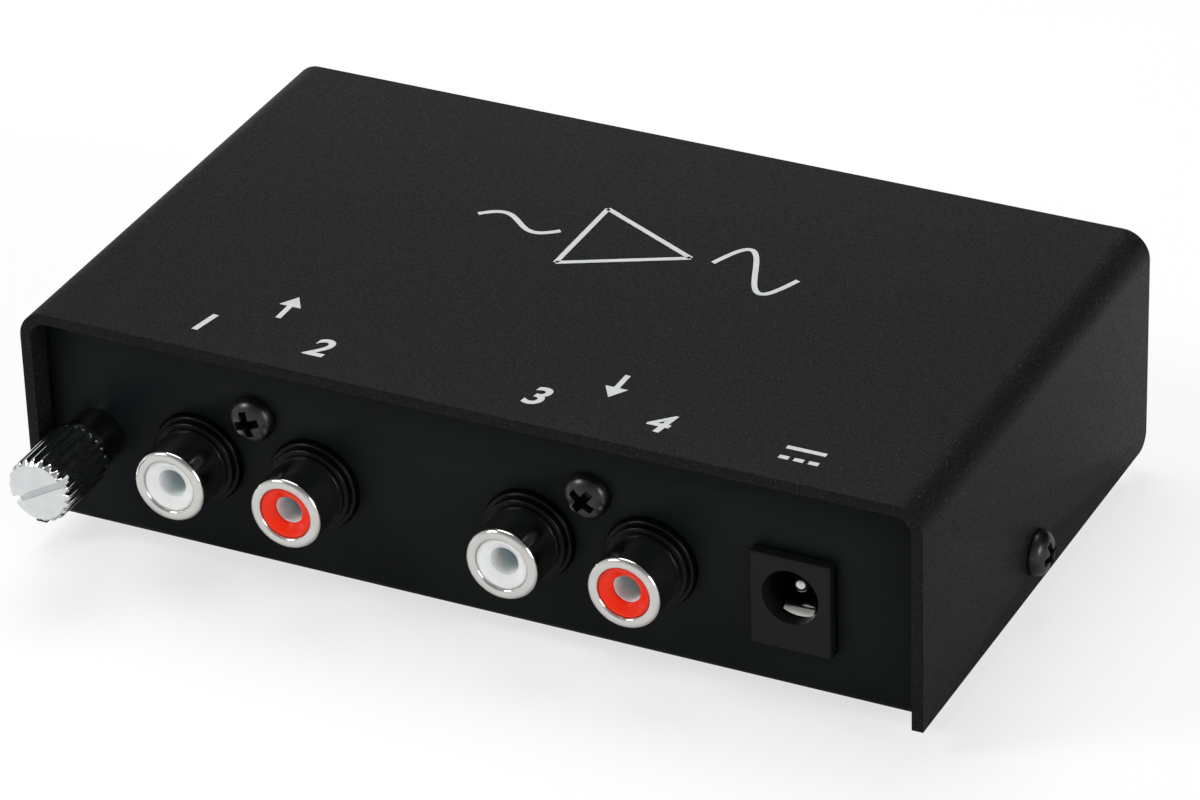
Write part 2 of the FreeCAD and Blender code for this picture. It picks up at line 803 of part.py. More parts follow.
def make_diode():
    return axial_part(diode_radius, diode_length, dc_x + diode_from_dc, power_row)


def make_regulator():
    # half-round body with a flat front, on three legs
    x = dc_x - power_can_from_dc
    y = regulator_row
    low = board_top + regulator_lift
    body = rod(regulator_radius, regulator_height, point(x, y, low), upward)
    flat = block(x - regulator_radius - spill, x + regulator_radius + spill, y - regulator_radius - spill,
                 y - regulator_flat, low - spill, low + regulator_height + spill)
    body = body.cut(flat)
    legs = []
    for index in (-1, 0, 1):
        at = x + index * regulator_leg_pitch
        legs.append(block(at - regulator_leg / 2, at + regulator_leg / 2, y - regulator_leg / 2,
                          y + regulator_leg / 2, board_top, low + spill))
    return body.fuse(legs).removeSplitter()


def save(name, solids):
    shape = solids
    if isinstance(solids, list):
        shape = Part.makeCompound(solids)
    shape.exportStep("parts/" + name + ".step")


os.makedirs("parts", exist_ok=True)
save("lid", make_lid())
save("chassis", make_chassis())
save("rubber_feet", make_feet())
save("lid_screws", make_lid_screws())
save("jack_screws", make_jack_screws())
save("input_jack_housing", make_jack_housing(input_pair_x))
save("output_jack_housing", make_jack_housing(output_pair_x))
jack_names = ["input_left", "input_right", "output_left", "output_right"]
for jack_name, jack_x in zip(jack_names, jack_places()):
    save(jack_name + "_shell", make_shell(jack_x))
    save(jack_name + "_insulator", make_insulator(jack_x))
    save(jack_name + "_contact", make_contact(jack_x))
save("dc_jack_housing", make_dc_housing())
save("dc_center_pin", make_dc_pin())
save("dc_leaf_contact", make_dc_leaf())
save("dc_leaf_terminal", make_dc_leaf_terminal())
save("ground_post", make_post())
save("ground_washer", make_washer())
save("ground_thumbscrew", make_thumbscrew())
save("ground_lug", make_lug())
save("ground_nut", make_terminal_nut())
save("circuit_board", make_board())
save("board_standoffs", make_standoffs())
save("board_screws", make_board_screws())
save("electrolytic_capacitors", make_cans())
save("power_capacitor", make_power_can())
save("film_capacitors", make_film_capacitors())
save("amplifier_chips", make_chips())
save("resistors", make_resistors())
save("power_diode", make_diode())
save("voltage_regulator", make_regulator())
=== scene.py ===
import math
import bmesh
import bpy
from mathutils import Matrix, Vector


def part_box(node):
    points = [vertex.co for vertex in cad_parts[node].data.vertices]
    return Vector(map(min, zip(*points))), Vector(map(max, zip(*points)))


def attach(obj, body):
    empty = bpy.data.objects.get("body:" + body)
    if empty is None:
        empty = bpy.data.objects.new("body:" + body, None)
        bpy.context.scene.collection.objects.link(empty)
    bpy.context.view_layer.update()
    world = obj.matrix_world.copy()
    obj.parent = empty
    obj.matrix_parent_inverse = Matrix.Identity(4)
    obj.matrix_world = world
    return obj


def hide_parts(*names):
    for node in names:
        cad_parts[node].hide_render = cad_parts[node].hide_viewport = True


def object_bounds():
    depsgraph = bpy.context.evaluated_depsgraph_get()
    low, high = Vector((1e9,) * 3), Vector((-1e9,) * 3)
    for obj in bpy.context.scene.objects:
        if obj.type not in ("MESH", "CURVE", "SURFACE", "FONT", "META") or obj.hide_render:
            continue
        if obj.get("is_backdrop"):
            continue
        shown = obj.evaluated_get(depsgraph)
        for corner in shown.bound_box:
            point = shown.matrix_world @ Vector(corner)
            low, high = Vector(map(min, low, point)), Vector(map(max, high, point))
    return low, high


# Small phono preamplifier in a folded black steel case: finishes, fine detail, light and camera.
# Metres, in the frame of the solids: X along the case, -Y the side with the sockets, Z up.

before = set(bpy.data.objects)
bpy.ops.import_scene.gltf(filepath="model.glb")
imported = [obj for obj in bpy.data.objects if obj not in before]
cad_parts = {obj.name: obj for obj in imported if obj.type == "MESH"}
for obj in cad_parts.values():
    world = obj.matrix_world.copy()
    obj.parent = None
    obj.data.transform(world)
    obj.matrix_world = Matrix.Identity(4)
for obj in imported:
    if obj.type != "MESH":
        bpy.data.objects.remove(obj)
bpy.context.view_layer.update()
print("frame loaded")

mm = 0.001
tiny = 1e-6
case = "case"


def hexColour(code):
    # sRGB hex to the linear values that the shaders take
    channels = [int(code[start:start + 2], 16) / 255 for start in (1, 3, 5)]
    linear = [c / 12.92 if c <= 0.04045 else ((c + 0.055) / 1.055) ** 2.4 for c in channels]
    return (*linear, 1.0)


def perMetre(sizeMm):
    # texture scale for a grain of this size
    return 1 / (sizeMm * mm)


def add(tree, kind, settings=None, inputs=()):
    # one node with its settings; inputs go by order or by name, a node stands for its first output,
    # and a list links all its parts to the one socket
    node = tree.nodes.new(kind)
    for name, value in (settings or {}).items():
        setattr(node, name, value)
    pairs = inputs.items() if isinstance(inputs, dict) else enumerate(inputs)
    for name, value in pairs:
        for part in value if isinstance(value, list) else [value]:
            source = part.outputs[0] if isinstance(part, bpy.types.Node) else part
            if isinstance(source, bpy.types.NodeSocket):
                tree.links.new(source, node.inputs[name])
            else:
                node.inputs[name].default_value = source
    return node


# Materials

# the middle range of a noise texture, and how finely its patches and its grain are broken up
noiseLook = {"low": 0.3, "high": 0.7, "patchDetail": 3.0, "grainDetail": 2.0}


def startMaterial(name, surface):
    material = bpy.data.materials.new(name)
    material.use_nodes = True
    tree = material.node_tree
    shader = tree.nodes["Principled BSDF"]
    for socket, value in surface.items():
        shader.inputs[socket].default_value = value
    place = add(tree, "ShaderNodeTexCoord").outputs["Object"]
    return material, tree, shader, place


def finishShader(tree, shader, finish, tone, patches, grain):
    # the colour, a gloss that varies with the patches, and the relief of the grain
    first, last = finish["roughness"]
    gloss = add(tree, "ShaderNodeMapRange", {}, {
        "Value": patches, "From Min": noiseLook["low"], "From Max": noiseLook["high"],
        "To Min": first, "To Max": last})
    relief = add(tree, "ShaderNodeBump", {}, {
        "Height": grain, "Strength": finish["relief"], "Distance": finish["reliefMm"] * mm})
    tree.links.new(tone, shader.inputs["Base Color"])
    tree.links.new(gloss.outputs[0], shader.inputs["Roughness"])
    tree.links.new(relief.outputs[0], shader.inputs["Normal"])


def makeFinish(name, finish):
    # two close tones in soft patches over a fine grain; inputs 6 and 7 are the two colours
    material, tree, shader, place = startMaterial(name, finish["surface"])
    patches = add(tree, "ShaderNodeTexNoise", {}, {
        "Vector": place, "Scale": perMetre(finish["patchMm"]), "Detail": noiseLook["patchDetail"]})
    grain = add(tree, "ShaderNodeTexNoise", {}, {
        "Vector": place, "Scale": perMetre(finish["grainMm"]), "Detail": noiseLook["grainDetail"]})
    tone = add(tree, "ShaderNodeMix", {"data_type": "RGBA"}, {
        "Factor": patches, 6: hexColour(finish["dark"]), 7: hexColour(finish["light"])})
    finishShader(tree, shader, finish, tone.outputs[2], patches, grain)
    return material


# Powder coat on sheet steel: black polyester baked to a fine dry texture, with lighter flecks painted into
# its colour as painted glints of that texture.
# Its peaks are glossier than its hollows.
powderCoat = {
    "surface": {"Specular IOR Level": 0.07},
    "dark": "#0d0e0f", "light": "#181919", "grainMm": 0.3, "reliefMm": 0.05, "relief": 0.6,
    # the glint entries set the painted glints: the size, share and tone of lighter flecks in the colour
    "grainRoughness": 0.6, "glintMm": 0.24, "glintRange": (0.64, 0.76), "paintedGlintTone": "#2a2b2d",
    "roughness": (0.62, 0.48),
}


def makePowderCoat(name, finish):
    material, tree, shader, place = startMaterial(name, finish["surface"])
    grain = add(tree, "ShaderNodeTexNoise", {}, {
        "Vector": place, "Scale": perMetre(finish["grainMm"]), "Detail": noiseLook["grainDetail"],
        "Roughness": finish["grainRoughness"]})
    tone = add(tree, "ShaderNodeMix", {"data_type": "RGBA"}, {
        "Factor": grain, 6: hexColour(finish["dark"]), 7: hexColour(finish["light"])})
    # painted glints: lighter flecks mixed into the base colour where a fine noise peaks, standing in for the
    # glitter of the lit texture
    glintNoise = add(tree, "ShaderNodeTexNoise", {}, {
        "Vector": place, "Scale": perMetre(finish["glintMm"]), "Detail": 0.0})
    first, last = finish["glintRange"]
    peaks = add(tree, "ShaderNodeMapRange", {}, {"Value": glintNoise, "From Min": first, "From Max": last})
    paintedGlints = add(tree, "ShaderNodeMix", {"data_type": "RGBA"}, {
        "Factor": peaks, 6: tone.outputs[2], 7: hexColour(finish["paintedGlintTone"])})
    finishShader(tree, shader, finish, paintedGlints.outputs[2], grain, grain)
    return material


finishes = {
    # satin stove enamel on the folded chassis, smoother than the lid and slightly blue
    "satinEnamel": {
        "surface": {"Specular IOR Level": 0.08},
        "dark": "#0c1011", "light": "#111516", "patchMm": 6.0, "roughness": (0.4, 0.5),
        "grainMm": 0.5, "reliefMm": 0.02, "relief": 0.35},
    # moulded rubber, dull and faintly dusty
    "mouldedRubber": {
        "surface": {"Specular IOR Level": 0.35},
        "dark": "#101010", "light": "#1b1b1b", "patchMm": 1.5, "roughness": (0.75, 0.9),
        "grainMm": 0.2, "reliefMm": 0.03, "relief": 0.5},
    # black oxide on a steel screw, oiled and glossy on its dome
    "blackOxideSteel": {
        "surface": {"Specular IOR Level": 0.45},
        "dark": "#060708", "light": "#0d0e10", "patchMm": 0.8, "roughness": (0.26, 0.36),
        "grainMm": 0.2, "reliefMm": 0.006, "relief": 0.25},
    # glass-filled PBT moulding of the socket blocks, glossy black
    "mouldedPbt": {
        "surface": {"Specular IOR Level": 0.1, "IOR": 1.55},
        "dark": "#040505", "light": "#070808", "patchMm": 1.2, "roughness": (0.24, 0.34),
        "grainMm": 0.25, "reliefMm": 0.01, "relief": 0.25},
    # spark-eroded nylon moulding of the power socket, matte black
    "texturedNylon": {
        "surface": {"Specular IOR Level": 0.15, "IOR": 1.53},
        "dark": "#0b0d0e", "light": "#111314", "patchMm": 0.9, "roughness": (0.5, 0.62),
        "grainMm": 0.16, "reliefMm": 0.02, "relief": 0.4},
    # bright nickel on brass, polished rims with faint turning marks
    "brightNickel": {
        "surface": {"Metallic": 1.0},
        "dark": "#bcbab6", "light": "#d0cecb", "patchMm": 1.6, "roughness": (0.1, 0.18),
        "grainMm": 0.5, "reliefMm": 0.001, "relief": 0.2},
    # decorative chromium, cooler and sharper than nickel
    "polishedChrome": {
        "surface": {"Metallic": 1.0},
        "dark": "#c6c8c9", "light": "#d9dbdb", "patchMm": 1.2, "roughness": (0.08, 0.15),
        "grainMm": 0.5, "reliefMm": 0.001, "relief": 0.2},
    # dark nickel on the post behind the thumbscrew
    "smokedNickel": {
        "surface": {"Metallic": 1.0},
        "dark": "#75767a", "light": "#909296", "patchMm": 1.0, "roughness": (0.12, 0.22),
        "grainMm": 0.25, "reliefMm": 0.003, "relief": 0.3},
    # satin silver plate on the sprung contacts inside the sockets
    "satinSilver": {
        "surface": {"Metallic": 1.0},
        "dark": "#d6d8d6", "light": "#eceeec", "patchMm": 0.8, "roughness": (0.42, 0.55),
        "grainMm": 0.3, "reliefMm": 0.004, "relief": 0.3},
    # tin dipped on brass tags, soft grey
    "dippedTin": {
        "surface": {"Metallic": 1.0},
        "dark": "#a8a8a4", "light": "#c4c3be", "patchMm": 0.7, "roughness": (0.28, 0.42),
        "grainMm": 0.4, "reliefMm": 0.02, "relief": 0.4},
    # clear-passivated zinc on small steel hardware, faintly blue
    "passivatedZinc": {
        "surface": {"Metallic": 1.0},
        "dark": "#9aa0a8", "light": "#bcc2ca", "patchMm": 0.6, "roughness": (0.25, 0.38),
        "grainMm": 0.2, "reliefMm": 0.01, "relief": 0.4},
    # glossy ABS insulators, moulded in the two channel colours
    "whiteAbs": {
        "surface": {"IOR": 1.54, "Subsurface Weight": 0.15, "Subsurface Scale": 0.0008},
        "dark": "#f4f4f3", "light": "#fbfbfa", "patchMm": 2.0, "roughness": (0.16, 0.24),
        "grainMm": 0.4, "reliefMm": 0.006, "relief": 0.25},
    "redAbs": {
        "surface": {"IOR": 1.54, "Specular IOR Level": 0.2},
        "dark": "#f62807", "light": "#ff300b", "patchMm": 2.0, "roughness": (0.16, 0.24),
        "grainMm": 0.4, "reliefMm": 0.006, "relief": 0.25},
    # natural nylon that lines the pin holes, moulded, milky and dull
    "naturalNylon": {
        "surface": {"IOR": 1.53, "Subsurface Weight": 0.3, "Subsurface Scale": 0.0006},
        "dark": "#eef2f1", "light": "#fbfdfc", "patchMm": 1.0, "roughness": (0.35, 0.5),
        "grainMm": 0.4, "reliefMm": 0.006, "relief": 0.2},
    # brass standoffs, bright drawn hexagon stock
    "drawnBrass": {
        "surface": {"Metallic": 1.0},
        "dark": "#b8954a", "light": "#d2b066", "patchMm": 0.9, "roughness": (0.2, 0.34),
        "grainMm": 0.3, "reliefMm": 0.01, "relief": 0.4},
    # green solder mask over glass-epoxy laminate
    "maskedLaminate": {
        "surface": {"IOR": 1.5, "Coat Weight": 0.3, "Coat Roughness": 0.2},
        "dark": "#0f3d24", "light": "#1b5a36", "patchMm": 3.0, "roughness": (0.3, 0.45),
        "grainMm": 0.5, "reliefMm": 0.02, "relief": 0.3},
    # shrunk PVC sleeve over an aluminium can
    "shrunkSleeve": {
        "surface": {"IOR": 1.5},
        "dark": "#10131c", "light": "#1c2130", "patchMm": 1.4, "roughness": (0.25, 0.38),
        "grainMm": 0.5, "reliefMm": 0.02, "relief": 0.3},
    # moulded polyester box of a film capacitor
    "polyesterBox": {
        "surface": {"IOR": 1.5},
        "dark": "#8c1f16", "light": "#a82a1e", "patchMm": 1.4, "roughness": (0.3, 0.42),
        "grainMm": 0.3, "reliefMm": 0.02, "relief": 0.3},
    # transfer-moulded epoxy of the chips and the diode, matte
    "mouldedEpoxy": {
        "surface": {"IOR": 1.55, "Specular IOR Level": 0.4},
        "dark": "#141415", "light": "#202022", "patchMm": 0.8, "roughness": (0.5, 0.64),
        "grainMm": 0.15, "reliefMm": 0.02, "relief": 0.4},
    # dipped lacquer on metal-film resistors, glossy and slightly lumpy
    "dippedLacquer": {
        "surface": {"IOR": 1.5},
        "dark": "#5f8fa6", "light": "#7aa9be", "patchMm": 1.0, "roughness": (0.28, 0.4),
        "grainMm": 0.5, "reliefMm": 0.03, "relief": 0.35},
    # pale two-part screen ink, printed thinly on the lid
    "screenInk": {
        "surface": {"IOR": 1.5, "Specular IOR Level": 0.3},
        "dark": "#b9bbbc", "light": "#cfd0d0", "patchMm": 1.5, "roughness": (0.5, 0.65),
        "grainMm": 0.34, "reliefMm": 0.03, "relief": 0.5},
}

materials = {name: makeFinish(name, finish) for name, finish in finishes.items()}
materials["powderCoat"] = makePowderCoat("powderCoat", powderCoat)

slotFinish = {
    "lid_powder_coat": "powderCoat", "chassis_paint": "satinEnamel", "foot_rubber": "mouldedRubber",
    "black_screw": "blackOxideSteel", "socket_plastic": "mouldedPbt", "dc_plastic": "texturedNylon",
    "dc_pin_plate": "brightNickel", "dc_leaf_plate": "brightNickel", "tinned_tag": "dippedTin",
    "terminal_post_plate": "smokedNickel", "washer_plate": "polishedChrome",
    "terminal_plate": "polishedChrome", "zinc_nut": "passivatedZinc", "board_laminate": "maskedLaminate",
    "standoff_plate": "drawnBrass", "zinc_screw": "passivatedZinc", "capacitor_sleeve": "shrunkSleeve",
    "film_box": "polyesterBox", "chip_epoxy": "mouldedEpoxy", "resistor_lacquer": "dippedLacquer",
    "diode_epoxy": "mouldedEpoxy", "shell_plate": "brightNickel", "white_insulator": "whiteAbs",
    "red_insulator": "redAbs", "contact_plate": "satinSilver",
}

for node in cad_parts.values():
    for materialSlot in node.material_slots:
        materialSlot.material = materials[slotFinish[materialSlot.material.name.split(".")[0]]]
print("materials made")


# Pieces

def centre(name):
    low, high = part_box(name)
    return (low + high) / 2


def placePiece(name, mesh, body, slotName, *replaced):
    piece = bpy.data.objects.new(name, mesh)
    bpy.context.scene.collection.objects.link(piece)
    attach(piece, body)
    if replaced:
        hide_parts(*replaced)


def holdMesh(name, mesh):
    holder = bpy.data.objects.new(name, mesh)
    bpy.context.scene.collection.objects.link(holder)
    return holder


def plainMesh(holder):
    # the evaluated shape as a mesh of its own, and the working object is dropped
    depsgraph = bpy.context.evaluated_depsgraph_get()
    mesh = bpy.data.meshes.new_from_object(holder.evaluated_get(depsgraph))
    bpy.data.objects.remove(holder)
    return mesh


def finishWork(name, work):
    mesh = bpy.data.meshes.new(name)
    work.to_mesh(mesh)
    work.free()
    return mesh


def smoothRounds(mesh, sharpDegrees):
    for polygon in mesh.polygons:
        polygon.use_smooth = True
    mesh.set_sharp_from_angle(angle=math.radians(sharpDegrees))


def softEdges(name, mesh, edgeMm, look):
    # rounds the sharp edges over and shades the rest smooth
    holder = holdMesh(name, mesh)
    bevel = holder.modifiers.new("softEdges", "BEVEL")
    bevel.width = edgeMm * mm
    bevel.segments = look["edgeSegments"]
    bevel.limit_method = "ANGLE"
    bevel.angle_limit = math.radians(look["edgeDegrees"])
    finished = plainMesh(holder)
    smoothRounds(finished, look["sharpDegrees"])
    return finished


# Lid and chassis: the solids' own sheets, welded flat, with the edges that paint rounds over
sheetLook = {
    "lidEdgeMm": 0.28, "chassisEdgeMm": 0.14, "inkMm": 0.02,
    "flatDegrees": 1.0, "edgeSegments": 3, "edgeDegrees": 35.0, "sharpDegrees": 40.0,
}


def makeSheet(name, node, slotName, edgeMm, sink):
    # sink lowers the top face, so that ink can lie on it inside the box of the solid
    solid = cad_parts[node].data
    work = bmesh.new()
    work.from_mesh(solid)
    bmesh.ops.remove_doubles(work, verts=work.verts, dist=tiny)
    bmesh.ops.dissolve_limit(work, angle_limit=math.radians(sheetLook["flatDegrees"]),
                             verts=work.verts, edges=work.edges)
    top = max(vertex.co.z for vertex in work.verts)
    for vertex in work.verts:
        if vertex.co.z > top - tiny:
            vertex.co.z -= sink
    mesh = finishWork(name, work)
    mesh.materials.append(solid.materials[0])
    placePiece(name, softEdges(name, mesh, edgeMm, sheetLook), case, slotName, node)


ink = sheetLook["inkMm"] * mm
makeSheet("coated_lid", "lid", "lid_powder_coat", sheetLook["lidEdgeMm"], ink)
makeSheet("painted_chassis", "chassis", "chassis_paint", sheetLook["chassisEdgeMm"], 0.0)
print("sheet metal done")


# Geometry Nodes

def startGeometry(name, sizes, counts=()):
    # sizes and counts name the tree's inputs; growMesh gives each its value
    tree = bpy.data.node_groups.new(name, "GeometryNodeTree")
    tree.interface.new_socket("Geometry", in_out="INPUT", socket_type="NodeSocketGeometry")
    for label in sizes:
        tree.interface.new_socket(label, in_out="INPUT", socket_type="NodeSocketFloat")
    for label in counts:
        tree.interface.new_socket(label, in_out="INPUT", socket_type="NodeSocketInt")
    tree.interface.new_socket("Material", in_out="INPUT", socket_type="NodeSocketMaterial")
    tree.interface.new_socket("Geometry", in_out="OUTPUT", socket_type="NodeSocketGeometry")
    return tree, add(tree, "NodeGroupInput").outputs


def splitPoints(tree):
    # the coordinates of each point, and the point flattened to z = 0
    axes = add(tree, "ShaderNodeSeparateXYZ", {}, (add(tree, "GeometryNodeInputPosition"),)).outputs
    return axes, add(tree, "ShaderNodeCombineXYZ", {}, (axes[0], axes[1]))


def reshape(tree, shape, flat, width, height):
    # moves each point to a multiple of its distance from the axis, and to a height
    spread = add(tree, "ShaderNodeVectorMath", {"operation": "SCALE"}, {0: flat, "Scale": width})
    rise = add(tree, "ShaderNodeCombineXYZ", {}, {2: height})
    place = add(tree, "ShaderNodeVectorMath", {"operation": "ADD"}, (spread, rise))
    return add(tree, "GeometryNodeSetPosition", {}, {"Geometry": shape, "Position": place})


def endGeometry(tree, given, shape):
    realized = add(tree, "GeometryNodeRealizeInstances", {}, {"Geometry": shape})
    painted = add(tree, "GeometryNodeSetMaterial", {}, {"Geometry": realized, "Material": given["Material"]})
    add(tree, "NodeGroupOutput", {}, {"Geometry": painted})


def growMesh(name, tree, values, base=None):
    # runs the tree once on a working object and returns the plain mesh
    holder = holdMesh(name, base or bpy.data.meshes.new(name))
    modifier = holder.modifiers.new(tree.name, "NODES")
    modifier.node_group = tree
    for item in tree.interface.items_tree:
        if item.in_out == "INPUT" and item.name in values:
            modifier[item.identifier] = values[item.name]
    return plainMesh(holder)


# Pan-head screws with a cross recess, on points that carry the way each one faces.
# The sizes go by the names of the tree's inputs.
screwLook = {
    "sizesMm": {
        "Head Radius": 2.6, "Rim": 0.35, "Shank Radius": 1.25, "Wing": 0.95, "Span": 3.1, "Recess": 2.1},
    "taper": 0.22, "domePower": 2.2, "panelHeadMm": 1.9, "endShankMm": 5.0, "shankSinkMm": 0.1,
    "headSides": 48, "domeRings": 12, "shankSides": 32, "panelTurns": (18.0, 52.0), "endTurns": (30.0, 12.0),
    "edgeMm": 0.05, "edgeSegments": 2, "edgeDegrees": 35.0, "sharpDegrees": 35.0,
}


def screwTree():
    tree, given = startGeometry("panScrews", (
        "Head Radius", "Head Height", "Rim", "Shank Radius", "Shank Length", "Wing", "Span", "Recess",
        "Taper"))
    axes, flat = splitPoints(tree)
    z = axes[2]
    reach = add(tree, "ShaderNodeVectorMath", {"operation": "LENGTH"}, (flat,)).outputs["Value"]
    # head: a capped disc of radius 1, widened, whose upper face rises from the rim to a dome
    disc = add(tree, "GeometryNodeMeshCylinder", {}, {
        "Vertices": screwLook["headSides"], "Side Segments": 1, "Fill Segments": screwLook["domeRings"],
        "Radius": 1.0, "Depth": 1.0})
    fall = add(tree, "ShaderNodeMath", {"operation": "POWER"}, (reach, screwLook["domePower"]))
    rest = add(tree, "ShaderNodeMath", {"operation": "SUBTRACT", "use_clamp": True}, (1.0, fall))
    roundness = add(tree, "ShaderNodeMath", {"operation": "SQRT"}, (rest,))
    domeHeight = add(tree, "ShaderNodeMath", {"operation": "SUBTRACT"}, (given["Head Height"], given["Rim"]))
    crown = add(tree, "ShaderNodeMath", {"operation": "MULTIPLY_ADD"}, (roundness, domeHeight, given["Rim"]))
    isTop = add(tree, "ShaderNodeMath", {"operation": "GREATER_THAN"}, (z, 0.0))
    height = add(tree, "ShaderNodeMath", {"operation": "MULTIPLY"}, (isTop, crown))
    head = reshape(tree, disc, flat, given["Head Radius"], height)
    # shank: it starts inside the head, a little below the top of the rim
    long = add(tree, "ShaderNodeMath", {"operation": "ADD"}, (given["Shank Length"], given["Rim"]))
    rod = add(tree, "GeometryNodeMeshCylinder", {}, {
        "Vertices": screwLook["shankSides"], "Radius": given["Shank Radius"], "Depth": long})
    middle = add(tree, "ShaderNodeMath", {"operation": "MULTIPLY_ADD"}, (long, -0.5, given["Rim"]))
    sunk = add(tree, "ShaderNodeMath", {"operation": "SUBTRACT"}, (middle, screwLook["shankSinkMm"] * mm))
    shank = add(tree, "GeometryNodeTransform", {}, {
        "Geometry": rod, "Translation": add(tree, "ShaderNodeCombineXYZ", {}, {2: sunk})})
    cut = add(tree, "GeometryNodeMeshBoolean", {"operation": "UNION", "solver": "EXACT"}, {
        "Mesh 2": [head, shank]})
    # cross recess: two bars that narrow towards the bottom, taken out one after the other
    deep = add(tree, "ShaderNodeMath", {"operation": "MULTIPLY"}, (given["Recess"], 2.0))
    bar = add(tree, "GeometryNodeMeshCube", {}, {
        "Size": add(tree, "ShaderNodeCombineXYZ", {}, (given["Span"], given["Wing"], deep))})
    end = add(tree, "ShaderNodeMath", {"operation": "SIGN"}, (z,))
    narrowing = add(tree, "ShaderNodeMath", {"operation": "MULTIPLY_ADD"}, (end, given["Taper"], 1.0))
    wedge = reshape(tree, bar, flat, narrowing, z)
    raised = add(tree, "GeometryNodeTransform", {}, {
        "Geometry": wedge, "Translation": add(tree, "ShaderNodeCombineXYZ", {}, {2: given["Head Height"]})})
    crossed = add(tree, "GeometryNodeTransform", {}, {
        "Geometry": raised, "Rotation": (0.0, 0.0, math.pi / 2)})
    for blade in (raised, crossed):
        cut = add(tree, "GeometryNodeMeshBoolean", {"operation": "DIFFERENCE", "solver": "EXACT"}, {
            "Mesh 1": cut, "Mesh 2": blade})
    facing = add(tree, "GeometryNodeInputNamedAttribute", {"data_type": "FLOAT_VECTOR"}, {"Name": "facing"})
    turned = add(tree, "FunctionNodeEulerToRotation", {}, (facing,))
    screws = add(tree, "GeometryNodeInstanceOnPoints", {}, {
        "Points": given["Geometry"], "Instance": cut, "Rotation": turned})
    endGeometry(tree, given, screws)
    return tree


def screwPoints(name, places, direction, turns):
    # the places as points; each screw is turned about its own axis, which is then aimed
    mesh = bpy.data.meshes.new(name)
    mesh.from_pydata(places, [], [])
    layer = mesh.attributes.new("facing", "FLOAT_VECTOR", "POINT")
    for index, (way, turn) in enumerate(zip(direction, turns)):
        aim = Vector(way).to_track_quat("Z", "Y").to_matrix()
        spin = Matrix.Rotation(math.radians(turn), 3, "Z")
        layer.data[index].vector = (aim @ spin).to_euler()
    return mesh


panScrews = screwTree()


def fitScrews(name, node, points, headHeight, shankLength):
    values = {label: size * mm for label, size in screwLook["sizesMm"].items()}
    values |= {"Head Height": headHeight, "Shank Length": shankLength, "Taper": screwLook["taper"],
               "Material": materials[slotFinish["black_screw"]]}
    screws = growMesh(name, panScrews, values, points)
    finished = softEdges(name, screws, screwLook["edgeMm"], screwLook)
    placePiece(name, finished, case, "black_screw", node)


def makePanelScrews():
    low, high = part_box("jack_screws")
    head = screwLook["sizesMm"]["Head Radius"] * mm
    seat, level = low.y + screwLook["panelHeadMm"] * mm, centre("jack_screws").z
    places = [(low.x + head, seat, level), (high.x - head, seat, level)]
    points = screwPoints("panelScrewPoints", places, [(0, -1, 0)] * 2, screwLook["panelTurns"])
    fitScrews("panel_screws", "jack_screws", points, seat - low.y, high.y - seat)


def makeEndScrews():
    seat, outer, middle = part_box("lid")[1].x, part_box("lid_screws")[1].x, centre("lid_screws")
    places = [(-seat, middle.y, middle.z), (seat, middle.y, middle.z)]
    points = screwPoints("endScrewPoints", places, [(-1, 0, 0), (1, 0, 0)], screwLook["endTurns"])
    fitScrews("end_screws", "lid_screws", points, outer - seat, screwLook["endShankMm"] * mm)


makePanelScrews()
makeEndScrews()
print("screws done")


# Earth thumbscrew: a straight-fluted head with a slot, a relief and a metric thread behind it.
# The sizes go by the names of the tree's inputs.
thumbLook = {
    "sizesMm": {
        "Length": 8.6, "Flute Depth": 0.4, "Front Chamfer": 0.5, "Rear Chamfer": 0.35, "Slot Width": 0.8,
        "Slot Depth": 1.4, "Relief": 1.2, "Relief Length": 1.4, "Thread Radius": 1.5, "Pitch": 0.5,
        "Thread Depth": 0.22},
    "flutes": 22, "flutePower": 1.4, "slotTurnDegrees": 28.9, "sharpDegrees": 32.0,
    "slicesPerFlute": 16, "ringsPerMm": 5, "ringsPerTurn": 8, "threadSides": 40, "faceRings": 4,
    "threadFaceRings": 2, "cutterReach": 3.0,
}


